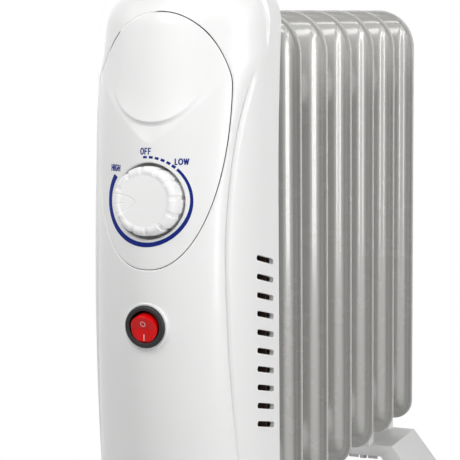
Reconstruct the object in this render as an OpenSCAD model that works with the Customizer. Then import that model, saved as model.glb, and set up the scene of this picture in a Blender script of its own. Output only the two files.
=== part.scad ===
// Oil filled radiator heater: a moulded control housing in front of a row of pressed steel fins.
// Millimetres, +Z up, the panel faces -Y and the fins run back along +Y.
// The origin is on the floor, under the middle of the heater.

/* [Housing] */
// Width of the control housing at the knob and below
housing_w = 95.2; // [94.4:0.2:98]
// How much wider each side of the housing is 85 mm above the knob
flare = 1.8; // [0:0.1:2.4]
// Depth of the control housing, from the panel to its rear lip
housing_d = 73.5; // [73:0.5:76]
// Height of the housing's top above the floor
housing_top = 378; // [376:1:386]
// Height of the housing's underside above the floor
housing_bottom = 65; // [64:0.5:66]
// Thickness of the moulded walls
wall = 2.4; // [2:0.1:2.6]
// Depth of the housing's curved front
front_bow = 46.4; // [40:0.2:48]
// Radius of the panel's upright arc
panel_arc_r = 680; // [640:10:900]

/* [Controls] */
// Height of the knob's centre above the floor
knob_z = 260; // [256:1:264]
// Radius of the knob at its base
knob_r = 18.7; // [18.4:0.1:19]
// Height of the knob's rim above the floor of its well
knob_h = 14.3; // [13.6:0.1:15]
// Radius of the round well that the knob sits in
well_r = 20.4; // [20:0.1:20.8]
// Depth of the well below the middle of the panel
well_depth = 9.5; // [8.6:0.1:10]
// Distance of the switch below the knob
switch_drop = 66.5; // [64:0.5:70]
// Outer radius of the switch's bezel
bezel_r = 11.5; // [11:0.25:12.5]
// How far the rocker tilts to each side
rocker_tilt = 12; // [9:1:12]

/* [Vents] */
// Number of vent slots in each side
vent_count = 10; // [6:1:12]
// Distance between neighbouring slots
vent_pitch = 10.2; // [9:0.1:10.4]
// Length of a slot
vent_l = 24; // [16:0.5:24.5]
// Height of a slot
vent_h = 2.6; // [2:0.1:3.2]

/* [Fins] */
// Distance from one fin to the next
fin_pitch = 45.5; // [42:0.5:48]
// Width of a fin
fin_w = 91.2; // [90:0.2:91.4]
// Height of a fin
fin_h = 290; // [286:1:292]
// Height of the fins' lower edge above the floor
fin_bottom = 70; // [69:0.5:70.5]
// Distance from the panel to the first fin
first_fin = 71.4; // [71.2:0.1:71.8]
// Thickness of the pressed oil channels
channel_t = 12; // [9:0.5:13]

/* [Feet] */
// Width across the feet
foot_w = 172; // [160:2:200]
// Depth of a foot
foot_d = 54; // [54:1:60]

/* [Hidden] */

$fn = 64;
eps = 0.01;
white = [0.93, 0.93, 0.92];
pale_paint = [0.84, 0.84, 0.83];
steel = [0.70, 0.71, 0.72];
brass = [0.80, 0.66, 0.34];
black = [0.08, 0.08, 0.09];
brown_wire = [0.45, 0.25, 0.12];
pale_wire = [0.8, 0.78, 0.74];
blue_wire = [0.15, 0.3, 0.6];
green_wire = [0.3, 0.6, 0.2];

// Housing: height of the panel's foremost line, and corner radii
panel_front_z = knob_z - 70;
top_r = 26;
bottom_r = 10;
front_round = 0.7;
ring_steps = 28;
corner_steps = 5;
side_steps = 16;
lip_half = fin_w / 2 + 0.5;
lip_s = first_fin - 2.1;
seat_t = 2;

// Control cover: an egg with its narrow end down
egg_half_w = 39.1;
egg_wide_z = knob_z + 58;
egg_below = 92.4;
egg_above = 41;
egg_power = 2.3;
egg_steps = 72;
cover_gap = 0.3;

// Controls
lean_angle = atan((knob_z - panel_front_z) / panel_arc_r);
knob_draft = 0.3;
knob_rim_r = 3;
knob_dish = 0.4;
flute_count = 12;
flute_r = 1.4;
flute_depth = 0.7;
pointer_turn = 7;
rim_centre_r = knob_r - knob_draft - knob_rim_r;
spindle_r = 3;
bush_r = 4.9;
thermostat_t = 17;
blade_l = 8;
switch_z = knob_z - switch_drop;
bezel_h = 2.1;
socket_r = 8.6;
rocker_r = 7.6;
rocker_end_r = 8.8;
rocker_h = 4;
pivot_depth = bezel_h - rocker_h;
pivot_r = 1;

gland_bore_r = 3.9;
gland_s = 29;
lead_r = 1.3;
lead_bend_r = 1.5;

// Vents
first_vent_z = knob_z - 35.6;
vent_front = 41.3;
vent_slope = 13.5;

// Fins: headers, hubs and collars
fin_count = 7;
plate_t = 1.6;
sheet_t = 1;
fin_top_r = 26;
fin_bottom_r = 14;
lower_header_z = fin_bottom + 30;
upper_header_z = fin_bottom + fin_h - 46;
header_h = 32;
header_half_w = 38.7;
header_t = 15;
header_round = 14;
channel_low = fin_bottom + 9;
channel_high = fin_bottom + fin_h - 9;
channel_taper = 14;
channel_w = 22.4;
channel_step = 27.5;
hub_r = 14;
hub_half = 9;
port_r = 10.5;
plug_thread_r = 12;
last_fin = first_fin + (fin_count - 1) * fin_pitch;

// Heat shield and what it carries
shield_t = 1;
shield_s = first_fin - hub_half - 0.1 - shield_t;
shield_screw_x = 40.5;
shield_screw_zs = [116, 270];
cutout_z = 200;
element_gap = 4.6;
element_r = 3.2;
block_s = shield_s - 7;
cutout_s = shield_s - 8;
pin_s = shield_s - 18;
switch_blade_s = 22.2;

// Feet
pad_t = 3;
deck_z = 54;
deck_top = 62;
bolt_r = 2.5;
bolt_bend_r = hub_r + bolt_r + 0.2;
front_foot_s = first_fin + fin_pitch / 2;
rear_foot_s = last_fin - fin_pitch / 2;

// Setback of the panel's middle line at height z, before the housing's ends round over
function setback(z) = (z - panel_front_z) ^ 2 / (2 * panel_arc_r);

// Half of the housing's width at height z, before its corners round over
function half_width(z) = housing_w / 2 + flare * (max(0, z - knob_z) / 85) ^ 2;

// Foremost point of the rocker: the end of its raised wing
wing = tan(rocker_tilt);
shoulder = (sqrt(rocker_end_r ^ 2 * (1 + wing ^ 2) - rocker_h ^ 2) - rocker_h * wing) / (1 + wing ^ 2);
shoulder_angle = atan2(rocker_h + shoulder * wing, shoulder) + rocker_tilt;
rocker_reach = rocker_end_r * sin(shoulder_angle) + pivot_depth + 0.5 - setback(switch_z);

// The heater is centred on the origin between the raised rocker and the filler plug's head
filler_end = last_fin + hub_half + 6;
front_y = -(filler_end - rocker_reach) / 2;

// Moves its children to a place given as distance from the middle, from the panel and from the floor
module at(x, s, z) {
    translate([x, front_y + s, z])
        children();
}

// Turns its children so that their +Z points forwards, out of the panel
module facing_front() {
    rotate([90, 0, 0])
        children();
}

module knob_frame() {
    at(0, setback(knob_z), knob_z)
        rotate([90 - lean_angle, 0, 0])
            children();
}

// On the floor of the knob's well
module well_frame() {
    knob_frame()
        translate([0, 0, -well_depth])
            children();
}

module switch_frame() {
    at(0, setback(switch_z) - 0.5, switch_z)
        facing_front()
            children();
}

// ---- Housing ----

// Heights and insets of the skin's rings: bottom corner, straight side, top corner
function ring_levels(inset) = concat(
    [for (i = [0:corner_steps]) let (a = 90 * i / corner_steps)
        [housing_bottom + bottom_r - (bottom_r - inset) * cos(a), (bottom_r - inset) * (1 - sin(a))]],
    [for (i = [1:side_steps - 1])
        [housing_bottom + bottom_r
            + (housing_top - top_r - housing_bottom - bottom_r) * i / side_steps, 0]],
    [for (i = [0:corner_steps]) let (a = 90 * i / corner_steps)
        [housing_top - top_r + (top_r - inset) * sin(a), (top_r - inset) * (1 - cos(a))]]
);

// One ring of the skin: a half ellipse in front, straight sides and a straight rear
function skin_ring(z, inset, corner, rear) =
    let (half = half_width(z) - inset - corner,
         middle = front_bow + 0.5 * setback(z),
         front = setback(z) + inset + corner * front_round)
    concat(
        [for (i = [0:ring_steps]) let (a = 180 * i / ring_steps)
            [-half * cos(a), front_y + middle - (middle - front) * sin(a), z]],
        [[half, front_y + rear, z], [-half, front_y + rear, z]]
    );

module skin(inset, rear) {
    levels = ring_levels(inset);
    count = ring_steps + 3;
    last = len(levels) - 1;
    points = [for (level = levels) each skin_ring(level[0], inset, level[1], rear)];
    sides = [for (k = [0:last - 1], i = [0:count - 1]) let (j = (i + 1) % count)
        [k * count + i, (k + 1) * count + i, (k + 1) * count + j, k * count + j]];
    polyhedron(
        points = points,
        faces = concat(
            [[for (i = [0:count - 1]) i]],
            sides,
            [[for (i = [count - 1:-1:0]) last * count + i]]
        ),
        convexity = 4
    );
}

function power_curve(value) = sign(value) * abs(value) ^ (2 / egg_power);

// Outline of the egg: an ellipse above its widest line, a fuller curve below
function egg_points(grow) = [
    for (i = [0:egg_steps - 1]) let (a = 360 * i / egg_steps)
        a <= 180
            ? [(egg_half_w + grow) * cos(a), egg_wide_z + (egg_above + grow) * sin(a)]
            : [(egg_half_w + grow) * power_curve(cos(a)),
               egg_wide_z + (egg_below + grow) * power_curve(sin(a))]
];

module egg_prism(grow) {
    at(0, 60, 0)
        facing_front()
            linear_extrude(height = 80)
                polygon(egg_points(grow));
}

module vent_slot() {
    cube([housing_w, vent_l - vent_h, vent_h], center = true);
    for (end = [-1, 1])
        translate([0, end * (vent_l - vent_h) / 2, 0])
            rotate([0, 90, 0])
                cylinder(h = housing_w, d = vent_h, center = true);
}

module vents() {
    for (side = [-1, 1], i = [0:vent_count - 1])
        at(side * (housing_w / 2 + 20), vent_front + vent_l / 2, first_vent_z - i * vent_pitch)
            rotate([-vent_slope, 0, 0])
                intersection() {
                    vent_slot();
                    cube([64, 40, 20], center = true);
                }
}

// A plate outline with larger corner radii at the top than at the bottom
module plate_outline(half, low, high, r_low, r_high) {
    for (side = [-1, 1]) {
        translate([side * (half - r_low), low + r_low])
            circle(r_low);
        translate([side * (half - r_high), high - r_high])
            circle(r_high);
    }
    translate([-half + r_low, low])
        square([2 * (half - r_low), r_low + 1]);
    translate([-half, low + r_low])
        square([2 * half, high - low - r_low - r_high]);
    translate([-half + r_high, high - r_high - 1])
        square([2 * (half - r_high), r_high + 1]);
}

module housing_shell() {
    color(white)
        difference() {
            union() {
                difference() {
                    skin(0, housing_d);
                    skin(wall, housing_d + 5);
                    egg_prism(cover_gap);
                }
                cover_seat();
                switch_frame()
                    translate([0, 0, -wall - 0.5])
                        cylinder(h = wall + 0.5, r = bezel_r + 2.5);
                for (side = [-1, 1], z = shield_screw_zs)
                    at(side * shield_screw_x, shield_s, z)
                        facing_front()
                            cylinder(h = 11, r = 5);
            }
            switch_frame()
                translate([0, 0, -12])
                    cylinder(h = 20, r = 10);
            vents();
            at(0, housing_d + 2, 0)
                facing_front()
                    linear_extrude(height = housing_d + 2 - lip_s)
                        plate_outline(lip_half, fin_bottom - 0.8, fin_bottom + fin_h + 0.8,
                                      fin_bottom_r, fin_top_r);
            for (side = [-1, 1], z = shield_screw_zs)
                at(side * shield_screw_x, shield_s + 1, z)
                    facing_front()
                        cylinder(h = 10, r = 1.6);
            at(0, gland_s, housing_bottom - 5)
                cylinder(h = 15, r = 6.5);
        }
}

// The step behind the cover's edge, joined to the shell all round
module cover_seat() {
    intersection() {
        difference() {
            skin(wall - 0.4, 55);
            skin(wall + seat_t, 60);
        }
        difference() {
            egg_prism(4);
            egg_prism(-3);
            intersection() {
                skin(-1, 55);
                egg_prism(cover_gap);
                cover_space();
            }
        }
    }
}

// Everything outside the cover's inner face
module cover_space() {
    difference() {
        skin(-2, 53);
        skin(wall + 0.05, 58);
    }
}

module control_cover() {
    color(white)
        difference() {
            union() {
                intersection() {
                    difference() {
                        skin(0, 55);
                        skin(wall, 60);
                    }
                    egg_prism(0);
                }
                intersection() {
                    skin(wall / 2, 58);
                    well_frame()
                        translate([0, 0, -wall])
                            cylinder(h = 30, r = well_r + wall);
                }
            }
            well_frame()
                cylinder(h = 30, r = well_r);
            well_frame()
                translate([0, 0, -wall - 1])
                    cylinder(h = wall + 2, r = bush_r + 0.1);
        }
}

// ---- Cord gland ----

module cord_gland() {
    color(black)
        at(0, gland_s, 0)
            difference() {
                union() {
                    translate([0, 0, housing_bottom - 4])
                        cylinder(h = 4 - eps, r = 9);
                    translate([0, 0, housing_bottom - 1])
                        cylinder(h = 12, r = 6.4);
                }
                translate([0, 0, housing_bottom - 10])
                    cylinder(h = 30, r = gland_bore_r);
            }
}

module gland_nut() {
    color(black)
        at(0, gland_s, housing_bottom + wall + 0.05)
            difference() {
                cylinder(h = 5, r = 9.5, $fn = 6);
                translate([0, 0, -1])
                    cylinder(h = 8, r = 6.45);
            }
}

// ---- Knob and thermostat ----

// Outer profile of the knob: a slight taper, a rounded rim and a slightly sunk face
function knob_profile() = concat(
    [[0, 0.8], [knob_r, 0.8]],
    [for (i = [0:6]) let (a = 90 * i / 6)
        [rim_centre_r + knob_rim_r * cos(a), knob_h - knob_rim_r + knob_rim_r * sin(a)]],
    [[rim_centre_r - 1.5, knob_h - knob_dish], [0, knob_h - knob_dish]]
);

// A low tongue on the knob's face, wide at the rim and rounded towards the middle
module knob_pointer() {
    translate([0, 0, knob_h - 1])
        linear_extrude(height = 0.9) {
            polygon([[-rim_centre_r, -4.9], [-8.9, -3.2], [-8.9, 3.2], [-rim_centre_r, 4.9]]);
            translate([-8.9, 0])
                circle(3.2);
        }
}

// A groove up the knob's side and over its rim
module flute() {
    translate([knob_r + flute_r - flute_depth, 0, -1])
        rotate([0, -atan(knob_draft / knob_h), 0])
            cylinder(h = knob_h + 3, r = flute_r);
    translate([rim_centre_r, 0, knob_h - knob_rim_r])
        rotate([0, -45, 0])
            translate([knob_rim_r + flute_r - flute_depth, 0, -5])
                cylinder(h = 12, r = flute_r);
}

module control_knob() {
    color(white)
        well_frame() {
            rotate([0, 0, pointer_turn]) {
                difference() {
                    rotate_extrude()
                        polygon(knob_profile());
                    translate([0, 0, -1])
                        cylinder(h = knob_h - 1.5, r = knob_r - 2.2);
                    for (i = [0:flute_count - 1])
                        if (i != flute_count / 2)
                            rotate([0, 0, i * 360 / flute_count])
                                flute();
                }
                knob_pointer();
            }
            difference() {
                translate([0, 0, 4.4])
                    cylinder(h = knob_h - 6.5, r = 6.4);
                translate([0, 0, 4])
                    cylinder(h = knob_h - 6.2, r = spindle_r + 0.02);
            }
        }
}

module knob_clip() {
    color(steel)
        well_frame()
            translate([0, 0, 4.6])
                rotate_extrude(angle = 300)
                    translate([6.45, 0])
                        square([0.7, 3.4]);
}

module thermostat_spindle() {
    color(steel)
        well_frame()
            translate([0, 0, -14])
                cylinder(h = knob_h + 11.7, r = spindle_r);
}

module thermostat_bush() {
    color(brass)
        well_frame()
            difference() {
                translate([0, 0, -wall])
                    cylinder(h = wall + 3.6, r = bush_r);
                translate([0, 0, -6])
                    cylinder(h = 12, r = spindle_r + 0.06);
            }
}

module thermostat_nut() {
    color(brass)
        well_frame()
            translate([0, 0, 0.05])
                difference() {
                    cylinder(h = 2.8, r = 8.08, $fn = 6);
                    translate([0, 0, -1])
                        cylinder(h = 5, r = bush_r + 0.03);
                }
}

module thermostat_body() {
    color([0.86, 0.84, 0.78])
        well_frame()
            difference() {
                translate([-15, -17, -wall - thermostat_t])
                    cube([30, 34, thermostat_t - eps]);
                translate([0, 0, -15])
                    cylinder(h = 20, r = spindle_r + 0.3);
            }
}

module thermostat_blades() {
    color(brass)
        well_frame()
            for (side = [-1, 1])
                translate([side * 8 - 3.15, -12, -wall - thermostat_t - blade_l - eps])
                    cube([6.3, 0.8, blade_l]);
}

// ---- Switch ----

module switch_body() {
    color(black)
        switch_frame()
            difference() {
                union() {
                    rotate_extrude()
                        polygon([[0, 0.02], [bezel_r, 0.02], [bezel_r, 1], [bezel_r - 0.5, 1.7],
                                 [bezel_r - 1.3, bezel_h], [0, bezel_h]]);
                    translate([0, 0, -13])
                        cylinder(h = 14, r = 9.9);
                }
                translate([0, 0, -11])
                    cylinder(h = 20, r = socket_r);
                translate([-9.5, 0, pivot_depth])
                    rotate([0, 90, 0])
                        cylinder(h = 19, r = pivot_r + 0.06);
            }
}

// Side profile of the rocker about its pivot: two wings that meet in a shallow V
module rocker_profile() {
    rise = rocker_r * 1.3 * wing;
    polygon([[-rocker_r * 1.3, -4], [rocker_r * 1.3, -4], [rocker_r * 1.3, rocker_h + rise],
             [0, rocker_h], [-rocker_r * 1.3, rocker_h + rise]]);
}

module switch_rocker() {
    color([0.75, 0.08, 0.08])
        switch_frame()
            translate([0, 0, pivot_depth])
                rotate([rocker_tilt, 0, 0]) {
                    intersection() {
                        translate([0, 0, -10])
                            cylinder(h = 20, r = rocker_r);
                        rotate([0, 90, 0])
                            cylinder(h = 30, r = rocker_end_r, center = true);
                        rotate([90, 0, 90])
                            linear_extrude(height = 30, center = true)
                                rocker_profile();
                    }
                    rotate([0, 90, 0])
                        cylinder(h = 18.6, r = pivot_r, center = true);
                }
}

module switch_blades() {
    color(brass)
        switch_frame()
            for (y = [-6, 0, 6])
                translate([-2.4, y - 0.4, -21])
                    cube([4.8, 0.8, 8 - eps]);
}

module neon_lamp() {
    color([0.95, 0.55, 0.35])
        switch_frame()
            translate([-3.5, 0, -9.5])
                rotate([0, 90, 0])
                    cylinder(h = 7, r = 1.3);
}

// ---- Heat shield and the parts on it ----

module heat_shield() {
    color(steel)
        at(0, shield_s + shield_t, 0)
            facing_front()
                linear_extrude(height = shield_t)
                    difference() {
                        plate_outline(lip_half - 2, fin_bottom + 1, fin_bottom + fin_h - 1, 8, top_r);
                        translate([0, lower_header_z])
                            circle(plug_thread_r + 0.1);
                        translate([0, upper_header_z])
                            circle(hub_r + 0.5);
                        for (side = [-1, 1], z = shield_screw_zs)
                            translate([side * shield_screw_x, z])
                                circle(2);
                    }
}

module shield_screws() {
    color(steel)
        for (side = [-1, 1], z = shield_screw_zs)
            at(side * shield_screw_x, shield_s + shield_t + 0.02, z)
                facing_front() {
                    cylinder(h = 9, r = 1.59);
                    translate([0, 0, -2])
                        cylinder(h = 2, r = 3.6);
                }
}

module thermal_cutout() {
    color([0.86, 0.84, 0.78])
        at(0, shield_s - eps, cutout_z)
            facing_front() {
                cylinder(h = 3, r = 8);
                translate([0, 0, 2])
                    cylinder(h = 6, r = 6.5);
            }
}

module cutout_clip() {
    color(steel)
        at(0, shield_s - eps, cutout_z)
            facing_front()
                difference() {
                    union() {
                        translate([-9.6, -4, 3 + eps])
                            cube([19.2, 8, 0.7]);
                        for (side = [-1, 1])
                            translate([side * 9 - 0.6, -4, 0])
                                cube([1.2, 8, 3.7]);
                        for (side = [-1, 1])
                            translate([side * 13 - 5, -4, 0])
                                cube([10, 8, 0.7]);
                    }
                    cylinder(h = 10, r = 6.6);
                    cylinder(h = 3 + eps, r = 8.1);
                }
}

module cutout_blades() {
    color(brass)
        at(0, shield_s - 8 - 2 * eps, cutout_z)
            facing_front()
                for (side = [-1, 1])
                    translate([side * 4 - 0.4, -3.1, 0])
                        cube([0.8, 6.2, 7]);
}

module terminal_block() {
    color([0.86, 0.84, 0.78])
        at(-30, shield_s - eps, 86)
            facing_front()
                difference() {
                    translate([-13, -7, 0])
                        cube([26, 14, 14]);
                    for (x = [-8, 0, 8])
                        translate([x, 8, 7])
                            rotate([90, 0, 0])
                                cylinder(h = 8, r = 1.8);
                }
}

module earth_screw() {
    color(brass)
        at(28, shield_s - eps, 88)
            facing_front() {
                cylinder(h = 2, r = 4);
                cylinder(h = 5, r = 2);
            }
}

// ---- Leads: each runs through a few points, as [x, distance from the panel, height] ----

// Just behind the tips of the thermostat's blades
blade_reach = well_depth + wall + thermostat_t + blade_l + lead_bend_r + 0.1;
thermostat_blade_s = setback(knob_z) + blade_reach * cos(lean_angle) - 11.6 * sin(lean_angle);
thermostat_blade_z = knob_z - 11.6 * cos(lean_angle) - blade_reach * sin(lean_angle);

module lead(route, tone) {
    color(tone)
        for (i = [0:len(route) - 1]) {
            at(route[i][0], route[i][1], route[i][2])
                sphere(r = lead_bend_r);
            if (i > 0)
                lead_run(route[i - 1], route[i]);
        }
}

module lead_run(from, to) {
    run = to - from;
    reach = norm(run);
    at(from[0], from[1], from[2])
        rotate([0, acos(run[2] / reach), atan2(run[1], run[0])])
            cylinder(h = reach, r = lead_r);
}

// Live supply, from the terminal block up to the switch
module supply_lead() {
    lead([[-38, block_s, 90], [-38, block_s, 98], [-22, block_s - 8, 130], [0, 27, 168],
          [0, switch_blade_s, 187.5]], brown_wire);
}

// From the switch up to the thermostat
module switched_lead() {
    lead([[0, switch_blade_s, 199.5], [-2, 31, 214], [-8, thermostat_blade_s + 1, 230],
          [-8, thermostat_blade_s, thermostat_blade_z]], brown_wire);
}

// From the thermostat to the thermal cut-out
module cutout_lead() {
    lead([[8, thermostat_blade_s, thermostat_blade_z], [8, thermostat_blade_s + 1, 230],
          [4, cutout_s - 6, 214], [4, cutout_s - 6, cutout_z + 4.7]], pale_wire);
}

// From the thermal cut-out to the element
module element_lead() {
    lead([[-4, cutout_s - 6, cutout_z - 4.7], [-10, cutout_s - 8, 170], [4, pin_s, 130],
          [element_gap, pin_s, 103]], pale_wire);
}

// Neutral supply, from the terminal block to the element
module neutral_lead() {
    lead([[-30, block_s, 90], [-30, block_s, 98], [-30, block_s - 7, 112], [-14, pin_s, 120],
          [-element_gap, pin_s, 103]], blue_wire);
}

// From the terminal block to the earthing screw
module earth_lead() {
    lead([[-22, block_s, 90], [-22, block_s - 1, 122], [24, block_s - 1, 122], [28, shield_s - 6, 91]],
         green_wire);
}

// ---- Heating element ----

module element_plug() {
    color(brass)
        at(0, shield_s - 2, lower_header_z)
            facing_front()
                difference() {
                    union() {
                        cylinder(h = 6, r = 17.3, $fn = 6);
                        translate([0, 0, -11])
                            cylinder(h = 12, r = plug_thread_r - 0.05);
                    }
                    for (side = [-1, 1])
                        translate([side * element_gap, 0, -12])
                            cylinder(h = 20, r = element_r + 0.05);
                }
}

module element_gasket() {
    color(black)
        at(0, shield_s - eps, lower_header_z)
            facing_front()
                difference() {
                    cylinder(h = 2 - 2 * eps, r = 15.5);
                    translate([0, 0, -1])
                        cylinder(h = 4, r = plug_thread_r);
                }
}

module element_tube() {
    bend_s = last_fin - 14;
    color(steel) {
        for (side = [-1, 1])
            at(side * element_gap, bend_s, lower_header_z)
                facing_front()
                    cylinder(h = bend_s - shield_s + 8.5, r = element_r);
        at(0, bend_s, lower_header_z)
            rotate_extrude(angle = 180)
                translate([element_gap, 0])
                    circle(element_r);
    }
}

module element_pins() {
    color(steel)
        for (side = [-1, 1])
            at(side * element_gap, shield_s - 8.5 - eps, lower_header_z)
                facing_front()
                    cylinder(h = 12, r = 1.2);
}

// ---- Fins ----

// Lens shape made by two arcs, half_w to each side and half_t thick each way
module lens(half_w, half_t) {
    arc_r = (half_w ^ 2 + half_t ^ 2) / (2 * half_t);
    intersection() {
        translate([0, arc_r - half_t])
            circle(arc_r, $fn = 128);
        translate([0, half_t - arc_r])
            circle(arc_r, $fn = 128);
    }
}

// Side profile of the channels: full thickness between ends that taper off
module channel_profile(inset) {
    offset(delta = -inset)
        polygon([[-1.2, channel_low], [1.2, channel_low],
                 [channel_t / 2 + 1, channel_low + channel_taper],
                 [channel_t / 2 + 1, channel_high - channel_taper],
                 [1.2, channel_high], [-1.2, channel_high],
                 [-channel_t / 2 - 1, channel_high - channel_taper],
                 [-channel_t / 2 - 1, channel_low + channel_taper]]);
}

// The pressed sheets' bulges: three upright channels crossed by two headers
module oil_form(inset) {
    for (i = [-1:1])
        intersection() {
            translate([i * channel_step, 0, channel_low])
                linear_extrude(height = channel_high - channel_low)
                    lens(channel_w / 2 - inset, channel_t / 2 - inset);
            rotate([90, 0, 90])
                linear_extrude(height = fin_w, center = true)
                    channel_profile(inset);
        }
    for (z = [lower_header_z, upper_header_z])
        intersection() {
            translate([0, 0, z])
                rotate([90, 0, 90])
                    linear_extrude(height = 2 * header_half_w, center = true)
                        rotate(90)
                            lens(header_h / 2 - inset, header_t / 2 - inset);
            rotate([90, 0, 0])
                linear_extrude(height = header_t + 2, center = true)
                    plate_outline(header_half_w - inset, z - header_h / 2, z + header_h / 2,
                                  header_round, header_round);
        }
}

module fin(number) {
    front_port = number == 1 ? plug_thread_r : port_r;
    color(pale_paint)
        at(0, first_fin + (number - 1) * fin_pitch, 0)
            difference() {
                union() {
                    rotate([90, 0, 0])
                        linear_extrude(height = plate_t, center = true)
                            plate_outline(fin_w / 2, fin_bottom, fin_bottom + fin_h,
                                          fin_bottom_r, fin_top_r);
                    oil_form(0);
                    for (z = [lower_header_z, upper_header_z])
                        translate([0, 0, z])
                            rotate([90, 0, 0])
                                cylinder(h = 2 * hub_half, r = hub_r, center = true);
                }
                oil_form(sheet_t);
                for (z = [lower_header_z, upper_header_z])
                    translate([0, hub_half + 1, z])
                        rotate([90, 0, 0])
                            cylinder(h = 2 * hub_half + 2, r = port_r);
                translate([0, 0, lower_header_z])
                    rotate([90, 0, 0])
                        cylinder(h = hub_half + 1, r = front_port);
            }
}

module collars(z) {
    color(pale_paint)
        for (i = [1:fin_count - 1])
            at(0, first_fin + i * fin_pitch - hub_half - eps, z)
                facing_front()
                    difference() {
                        cylinder(h = fin_pitch - 2 * hub_half - 2 * eps, r = hub_r);
                        translate([0, 0, -1])
                            cylinder(h = fin_pitch, r = port_r);
                    }
}

module upper_collars() {
    collars(upper_header_z);
}

module lower_collars() {
    collars(lower_header_z);
}

// A pressed cap: its rim lies on the hub and its spigot goes into the port
module header_cap() {
    translate([0, 0, eps])
        cylinder(h = 1.4, r = hub_r - 1);
    translate([0, 0, -4])
        cylinder(h = 5, r = port_r - 0.02);
}

module header_caps() {
    color(pale_paint) {
        at(0, first_fin - hub_half, upper_header_z)
            facing_front()
                header_cap();
        at(0, last_fin + hub_half, lower_header_z)
            rotate([-90, 0, 0])
                header_cap();
    }
}

module filler_plug() {
    color(steel)
        at(0, last_fin + hub_half + 1, upper_header_z)
            rotate([-90, 0, 0]) {
                translate([0, 0, eps])
                    cylinder(h = 5 - eps, r = 12.7, $fn = 6);
                translate([0, 0, -9])
                    cylinder(h = 10, r = port_r - 0.04);
            }
}

module filler_washer() {
    color(black)
        at(0, last_fin + hub_half + eps, upper_header_z)
            rotate([-90, 0, 0])
                difference() {
                    cylinder(h = 1 - 2 * eps, r = 13);
                    translate([0, 0, -1])
                        cylinder(h = 3, r = port_r);
                }
}

// ---- Feet ----

// One foot: an arch across the heater, with a slotted rib under each fin it carries
module foot(s, rib_offsets) {
    half = foot_w / 2;
    color(white)
        at(0, s, 0)
            difference() {
                union() {
                    rotate([90, 0, 0])
                        linear_extrude(height = foot_d, center = true)
                            polygon([[-half, pad_t], [-half + 17, pad_t], [-38, deck_z], [38, deck_z],
                                     [half - 17, pad_t], [half, pad_t], [half, 11],
                                     [46, deck_top], [-46, deck_top], [-half, 11]]);
                    for (offset = rib_offsets)
                        translate([-30, offset - 5, deck_top - 1])
                            cube([60, 10, fin_bottom - deck_top + 5]);
                }
                for (offset = rib_offsets)
                    translate([-40, offset - plate_t / 2 - 0.1, fin_bottom - 0.05])
                        cube([80, plate_t + 0.2, 20]);
                for (side = [-1, 1]) {
                    translate([side * bolt_bend_r, 0, deck_z - 10])
                        cylinder(h = 40, r = bolt_r + 0.2);
                    for (y = [-1, 1])
                        translate([side * (half - 8.5), y * foot_d / 4, pad_t - 1])
                            cylinder(h = 6, r = 2.5);
                }
            }
}

module front_foot() {
    foot(front_foot_s, [fin_pitch / 2]);
}

module rear_foot() {
    foot(rear_foot_s, [-fin_pitch / 2, fin_pitch / 2]);
}

module foot_bolts() {
    color(steel)
        for (s = [front_foot_s, rear_foot_s])
            at(0, s, lower_header_z) {
                rotate([90, 0, 0])
                    rotate_extrude(angle = 180)
                        translate([bolt_bend_r, 0])
                            circle(bolt_r, $fn = 32);
                for (side = [-1, 1])
                    translate([side * bolt_bend_r, 0, deck_z - 9 - lower_header_z])
                        cylinder(h = lower_header_z - deck_z + 9, r = bolt_r, $fn = 32);
            }
}

module wing_nut() {
    difference() {
        union() {
            cylinder(h = 6, r = 5);
            for (turn = [0, 180])
                rotate([0, 0, turn])
                    translate([3.5, -0.8, -3])
                        cube([7, 1.6, 8]);
        }
        translate([0, 0, -5])
            cylinder(h = 15, r = bolt_r + 0.02);
    }
}

module wing_nuts() {
    color(steel)
        for (s = [front_foot_s, rear_foot_s], side = [-1, 1])
            at(side * bolt_bend_r, s, deck_z - 6 - eps)
                wing_nut();
}

module foot_pads() {
    color(black)
        for (s = [front_foot_s, rear_foot_s], side = [-1, 1])
            at(side * (foot_w / 2 - 8.5), s, 0) {
                translate([-8, -foot_d / 2 + 1, 0])
                    cube([16, foot_d - 2, pad_t - eps]);
                for (y = [-1, 1])
                    translate([0, y * foot_d / 4, pad_t - 1])
                        cylinder(h = 5, r = 2.48);
            }
}

housing_shell();
control_cover();
heat_shield();
shield_screws();
cord_gland();
gland_nut();
control_knob();
knob_clip();
thermostat_spindle();
thermostat_bush();
thermostat_nut();
thermostat_body();
thermostat_blades();
switch_body();
switch_rocker();
switch_blades();
neon_lamp();
thermal_cutout();
cutout_clip();
cutout_blades();
terminal_block();
earth_screw();
supply_lead();
switched_lead();
cutout_lead();
element_lead();
neutral_lead();
earth_lead();
element_plug();
element_gasket();
element_tube();
element_pins();
fin(1);  // fin_1
fin(2);  // fin_2
fin(3);  // fin_3
fin(4);  // fin_4
fin(5);  // fin_5
fin(6);  // fin_6
fin(7);  // fin_7
upper_collars();
lower_collars();
header_caps();
filler_plug();
filler_washer();
front_foot();
rear_foot();
foot_bolts();
wing_nuts();
foot_pads();
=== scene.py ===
import math

import bmesh
import bpy
from mathutils import Matrix, Vector


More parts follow.
